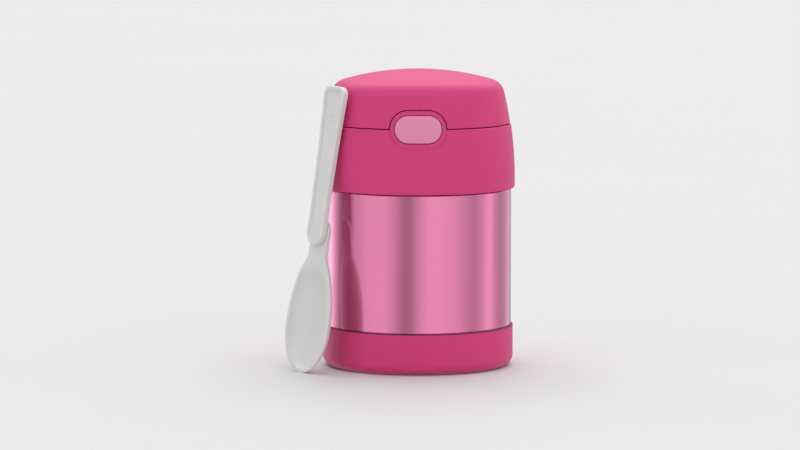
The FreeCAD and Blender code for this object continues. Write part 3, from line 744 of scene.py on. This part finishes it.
def spoon_bowl_piece():
    """Bowl, neck and pivot end as one moulding."""
    reach = spoon_pivot + stem_disc - 2 * bowl_end
    loops = []
    for step in range(bowl_sections + 1):
        share = (1 - math.cos(math.pi * step / bowl_sections)) / 2
        loops.append(spoon_section(bowl_end + share * reach))
    mesh = loops_mesh("spoon_bowl_body", loops)
    mesh.transform(spoon_matrix())
    piece = new_object("spoon_bowl_body", mesh, "spoon_white", "spoon")
    weld = piece.modifiers.new("weld", "WELD")
    weld.merge_threshold = bowl_weld
    soften(piece, bowl_edge, 3).angle_limit = math.radians(bowl_crisp_angle)
    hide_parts("spoon_bowl")


def handle_half_width(share):
    """Half of the handle's width from its pivot (0) to its top (1)."""
    low = handle_disc * (1 - share) * (1 - 2 * share)
    middle = handle_mid_width / 2 * 4 * share * (1 - share)
    high = handle_top_width / 2 * share * (2 * share - 1)
    return low + middle + high


def handle_outline():
    """Points round the handle in its own XZ plane, counter-clockwise from the pivot end."""
    right = []
    run = handle_reach - handle_corner
    for step in range(handle_disc_steps + 1):
        angle = math.pi / 2 * (step / handle_disc_steps - 1)
        right.append((handle_disc * math.cos(angle), spoon_pivot + handle_disc * math.sin(angle)))
    for step in range(1, handle_steps + 1):
        share = step / handle_steps
        right.append((handle_half_width(share * run / handle_reach), spoon_pivot + share * run))
    top_half = right[-1][0]
    for step in range(1, handle_corner_steps + 1):
        angle = math.pi / 2 * step / handle_corner_steps
        right.append((top_half - handle_corner + handle_corner * math.cos(angle),
                      spoon_pivot + run + handle_corner * math.sin(angle)))
    left = [(-x, z) for x, z in reversed(right[1:])]
    return right + left


def inset_outline(points, amount):
    """The outline moved inwards along its own normals."""
    moved = []
    count = len(points)
    for index, (x, z) in enumerate(points):
        before = points[index - 1]
        after = points[(index + 1) % count]
        run_x = after[0] - before[0]
        run_z = after[1] - before[1]
        length = math.hypot(run_x, run_z)
        moved.append((x - amount * run_z / length, z + amount * run_x / length))
    return moved


def spoon_handle_piece():
    """Handle with rounded edges and a sunken panel in its face."""
    outline = handle_outline()
    edge = handle_edge
    front = -handle_thickness

    def at(amount, y):
        return [(x, y, z) for x, z in inset_outline(outline, amount)]

    loops = [at(inset * edge, -depth * edge) for inset, depth in handle_back]
    for step in range(6):
        angle = math.pi / 2 * step / 5
        loops.append(at(edge - edge * math.cos(angle), front + edge - edge * math.sin(angle)))
    for inset, depth in panel_wall:
        loops.append(at(panel_border + inset, front + depth))
    mesh = loops_mesh("spoon_handle_body", loops)
    mesh.transform(spoon_matrix())
    piece = new_object("spoon_handle_body", mesh, "spoon_white", "handle")
    piece.modifiers.new("even_shading", "WEIGHTED_NORMAL").keep_sharp = True
    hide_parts("spoon_handle")


def ejector_mark():
    """Small round ejector mark near the top of the handle's panel."""
    height = spoon_pivot + handle_reach - mark_drop
    face_y = -handle_thickness + panel_depth

    def place(angle, lean):
        reach = mark_radius + mark_line * math.cos(lean)
        return (reach * math.cos(angle) - mark_aside, face_y + mark_line * math.sin(lean),
                height + reach * math.sin(angle))

    mesh = loops_mesh("ejector_mark", ring_loops(32, 6, place), wrap=True)
    mesh.transform(spoon_matrix())
    new_object("ejector_mark", mesh, "spoon_white", "handle")


def make_floor():
    """Plain pale ground."""
    mesh = bpy.data.meshes.new("ground")
    corners = [(x * floor_half, y * floor_half, 0) for x, y in ((-1, -1), (1, -1), (1, 1), (-1, 1))]
    mesh.from_pydata(corners, [], [(0, 1, 2, 3)])
    ground = bpy.data.objects.new("ground", mesh)
    bpy.context.scene.collection.objects.link(ground)

    def inputs(tree):
        cloud = noise(tree, object_point(tree), 3.0, 2.0)
        base = tree.mix(cloud, grey(floor_grey[0]), grey(floor_grey[1]))
        return {"Base Color": base, "Roughness": 0.6, "Specular IOR Level": 0.2}
    mesh.materials.append(shader("ground_paper", inputs))
    ground.visible_glossy = False


def make_world():
    """Studio surround of soft upright cards, and a pale ground for the camera."""
    world = bpy.data.worlds.new("studio")
    bpy.context.scene.world = world
    tree = Tree(world)
    across, towards, height = tree.axes(tree.node("ShaderNodeTexCoord", output=0))
    turn = across.math("ARCTAN2", 0.0 - towards) / (2 * math.pi) + 0.5
    stops = [((angle + 180) / 360, grey(level)) for angle, level in card_levels]
    cards = tree.node("ShaderNodeValToRGB", {"stops": stops}, {"Fac": turn})
    overhead = tree.node("ShaderNodeMapRange", {"interpolation_type": "SMOOTHSTEP"},
                         {"Value": height, "From Min": overhead_from, "From Max": overhead_to,
                          "To Min": 0.0, "To Max": 1.0})
    surround = tree.mix(overhead, cards, grey(overhead_level))
    path = tree.node("ShaderNodeLightPath", output=0)
    colour = tree.mix(path, surround, grey(backdrop_level))
    back = tree.node("ShaderNodeBackground", {}, {"Color": colour, "Strength": 1.0})
    tree.node("ShaderNodeOutputWorld", {}, {"Surface": back})


def make_light():
    """Large soft light from above and behind, the same over the whole floor."""
    data = bpy.data.lights.new("back_light", "SUN")
    data.energy = sun_strength
    data.angle = math.radians(sun_spread)
    light = bpy.data.objects.new("back_light", data)
    light.rotation_euler = Vector(sun_from).to_track_quat("Z", "Y").to_euler()
    bpy.context.scene.collection.objects.link(light)


def make_camera():
    data = bpy.data.cameras.new("camera")
    data.lens = camera_lens
    data.sensor_width = camera_sensor
    data.sensor_fit = "HORIZONTAL"
    data.clip_start = 0.05
    data.clip_end = 60
    camera = bpy.data.objects.new("camera", data)
    camera.location = (camera_x, -camera_back, camera_height)
    aim = Vector((camera_x, 0, camera_aim_height)) - camera.location
    camera.rotation_euler = aim.to_track_quat("-Z", "Y").to_euler()
    bpy.context.scene.collection.objects.link(camera)
    bpy.context.scene.camera = camera


dress_cad_nodes()
thread_ridge("neck_thread", neck_radius, 1, thread_foot_z, "jar", "bare_steel")
thread_ridge("cap_thread", cap_bore, -1, thread_foot_z - thread_drop, "lid", "grey_plastic")
mouth_bead()
button_ribs()
frame_bead()
tray_rib()
hinge_spring_wire()
button_spring_wire()
spoon_bowl_piece()
spoon_handle_piece()
ejector_mark()
make_floor()
make_world()
make_light()
make_camera()
bpy.context.scene.view_settings.view_transform = "Standard"
